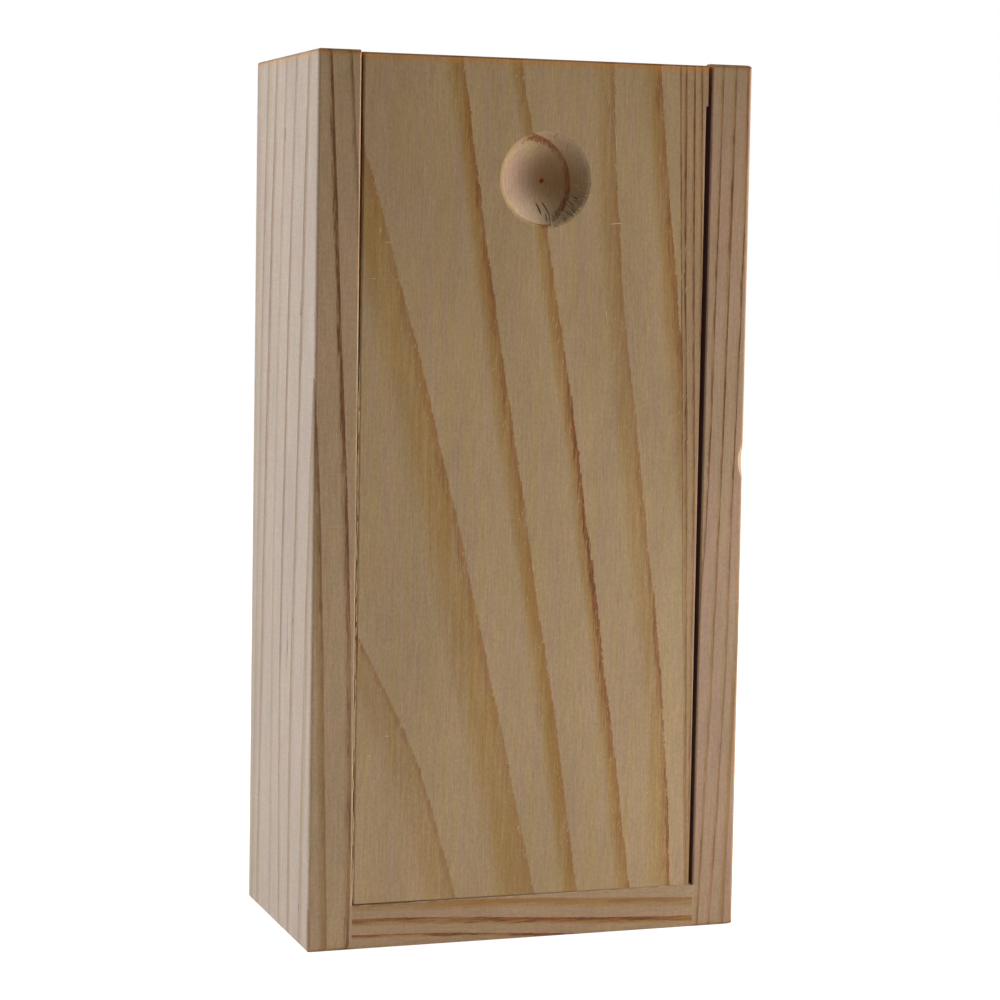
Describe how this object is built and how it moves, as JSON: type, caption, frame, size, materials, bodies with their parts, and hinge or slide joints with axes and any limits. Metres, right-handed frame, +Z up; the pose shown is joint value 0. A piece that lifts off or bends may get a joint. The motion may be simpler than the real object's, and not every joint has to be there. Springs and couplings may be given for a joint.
{
  "type": "sliding lid wooden box",
  "caption": "Upright pine keepsake box: glued boards round a thin back panel, with a tongued front lid that slides up and out by a round thumb recess.",
  "frame": {"origin": "middle of the closed end, on the surface that the box stands on", "axes": "+Z up along the grain towards the open end, the lid faces -Y, +X to the right seen from the front"},
  "size_m": [0.09, 0.05, 0.175],
  "materials": {
    "pine_side": "bare sanded pine, fine straight growth rings",
    "pine_end": "bare sanded pine, orange-brown ring bands",
    "back_plywood": "bare sanded thin plywood",
    "pine_lid": "bare planed flat-sawn pine, wide orange-brown ring bands",
    "pine_lid_strip": "bare planed pine, tight straight growth rings"
  },
  "bodies": {
    "carcass": {"left_side": "pine_side", "right_side": "pine_side", "bottom_end": "pine_end", "top_end": "pine_end", "back_panel": "back_plywood"},
    "lid": {"lid_board": "pine_lid", "lid_edge_strip": "pine_lid_strip"}
  },
  "joints": [
    {"name": "lid_slide", "type": "slide", "parent": "carcass", "child": "lid", "axis": [0, 0, 1], "range_m": [0, 0.175]}
  ]
}
